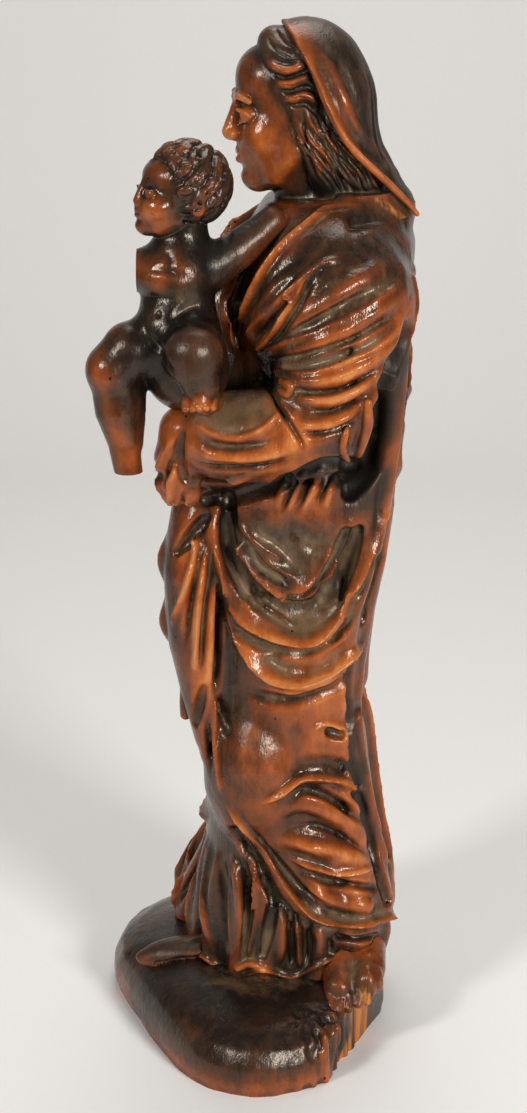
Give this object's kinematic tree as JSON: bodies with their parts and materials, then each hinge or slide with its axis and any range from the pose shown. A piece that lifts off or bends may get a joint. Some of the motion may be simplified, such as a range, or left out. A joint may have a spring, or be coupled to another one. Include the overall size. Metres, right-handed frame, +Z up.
{
  "type": "madonna statue",
  "caption": "Carved wooden standing mother with a seated child on the left arm, in veil and draped mantle on a rounded mound, glued up from dowelled blocks to stand on a shelf or altar.",
  "frame": {"origin": "on the underside of the mound, below the middle of the gown", "axes": "+Z up, -Y to her front, +X to her left, where the child sits"},
  "size_m": [0.1915, 0.1569, 0.5199],
  "materials": {
    "dark_wood": "old waxed wood, nearly black",
    "brown_wood": "old shellac, dusty in the hollows",
    "red_wood": "shellac worn to red-brown",
    "dowel_wood": "bare turned hardwood"
  },
  "bodies": {
    "root": {"base_mound": "dark_wood", "gown_trunk": "brown_wood", "mantle_back": "brown_wood", "mantle_shoulder": "brown_wood", "left_sleeve": "red_wood", "sleeve_fall": "red_wood", "right_arm": "brown_wood", "front_drapery": "red_wood", "head": "brown_wood", "veil_tail": "dark_wood", "left_foot": "dark_wood", "right_shoe": "dark_wood", "child_torso": "dark_wood", "child_head": "dark_wood", "child_left_arm": "dark_wood", "child_left_leg": "dark_wood", "child_right_leg": "dark_wood", "base_dowel_front": "dowel_wood", "base_dowel_rear": "dowel_wood", "back_dowel_upper": "dowel_wood", "back_dowel_middle": "dowel_wood", "back_dowel_lower": "dowel_wood", "shoulder_dowel": "dowel_wood", "right_arm_dowel": "dowel_wood", "neck_dowel": "dowel_wood", "elbow_dowel": "dowel_wood", "cuff_dowel": "dowel_wood", "drapery_dowel": "dowel_wood", "veil_dowel": "dowel_wood", "foot_dowel": "dowel_wood", "shoe_dowel": "dowel_wood", "child_seat_dowel": "dowel_wood", "child_neck_dowel": "dowel_wood", "child_left_leg_dowel": "dowel_wood", "child_right_leg_dowel": "dowel_wood", "child_arm_dowel": "dowel_wood"}
  },
  "joints": []
}
